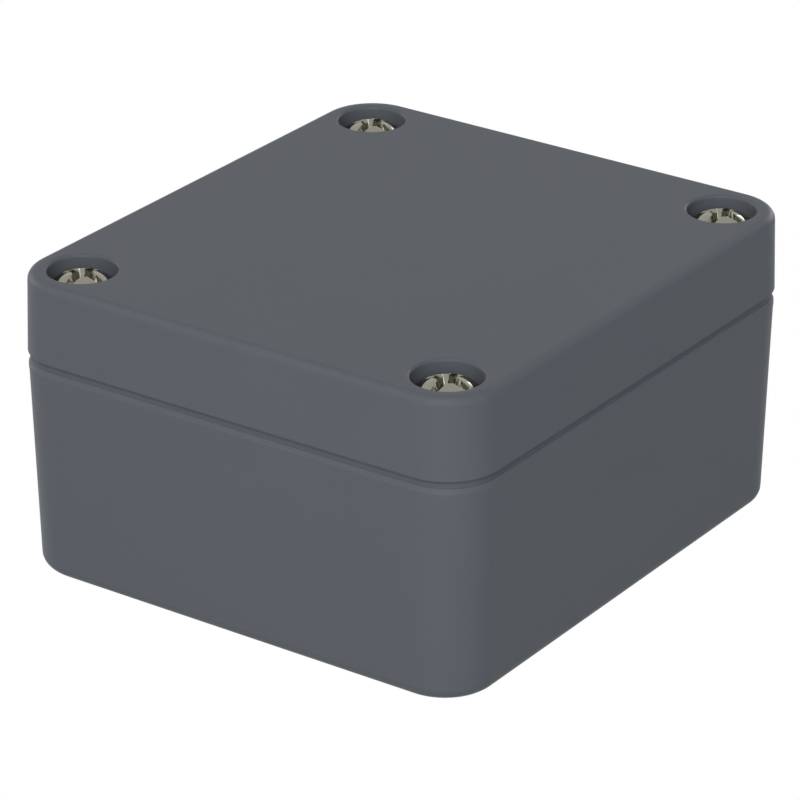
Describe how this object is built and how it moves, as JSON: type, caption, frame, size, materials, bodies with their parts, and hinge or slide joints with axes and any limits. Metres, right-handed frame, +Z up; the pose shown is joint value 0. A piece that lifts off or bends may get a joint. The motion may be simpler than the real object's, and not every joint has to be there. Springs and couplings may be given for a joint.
{
  "type": "polyamide enclosure",
  "caption": "Small rectangular electronics enclosure with a drafted base, a gasketed lid, captive corner screws in deep recesses and hidden wall fixing wells.",
  "frame": {"origin": "centre of the underside of the base", "axes": "+Z up towards the lid, X along the 58 mm side, Y along the 64 mm side, front is -Y"},
  "size_m": [0.058, 0.064, 0.034],
  "materials": {
    "housing": "dark blue-grey moulded polyamide, satin with a very fine grain",
    "gasket": "black cellular rubber, matt",
    "screw": "bright stainless steel",
    "retainer": "natural polyamide washer",
    "insert": "turned brass"
  },
  "bodies": {
    "base": {"base": "housing", "threaded_insert_front_left": "insert", "threaded_insert_front_right": "insert", "threaded_insert_back_right": "insert", "threaded_insert_back_left": "insert"},
    "lid": {"lid": "housing", "gasket": "gasket", "screw_retainer_front_left": "retainer", "screw_retainer_front_right": "retainer", "screw_retainer_back_right": "retainer", "screw_retainer_back_left": "retainer"},
    "screw_front_left": {"lid_screw_front_left": "screw"},
    "screw_front_right": {"lid_screw_front_right": "screw"},
    "screw_back_right": {"lid_screw_back_right": "screw"},
    "screw_back_left": {"lid_screw_back_left": "screw"}
  },
  "joints": [
    {"name": "lid_lift", "type": "slide", "parent": "base", "child": "lid", "axis": [0, 0, 1], "range_m": [0, 0.04]},
    {"name": "screw_front_left_turn", "type": "hinge", "parent": "lid", "child": "screw_front_left", "pos_m": [-0.023, -0.026, 0.03], "axis": [0, 0, 1], "continuous": true},
    {"name": "screw_front_right_turn", "type": "hinge", "parent": "lid", "child": "screw_front_right", "pos_m": [0.023, -0.026, 0.03], "axis": [0, 0, 1], "continuous": true},
    {"name": "screw_back_right_turn", "type": "hinge", "parent": "lid", "child": "screw_back_right", "pos_m": [0.023, 0.026, 0.03], "axis": [0, 0, 1], "continuous": true},
    {"name": "screw_back_left_turn", "type": "hinge", "parent": "lid", "child": "screw_back_left", "pos_m": [-0.023, 0.026, 0.03], "axis": [0, 0, 1], "continuous": true}
  ]
}
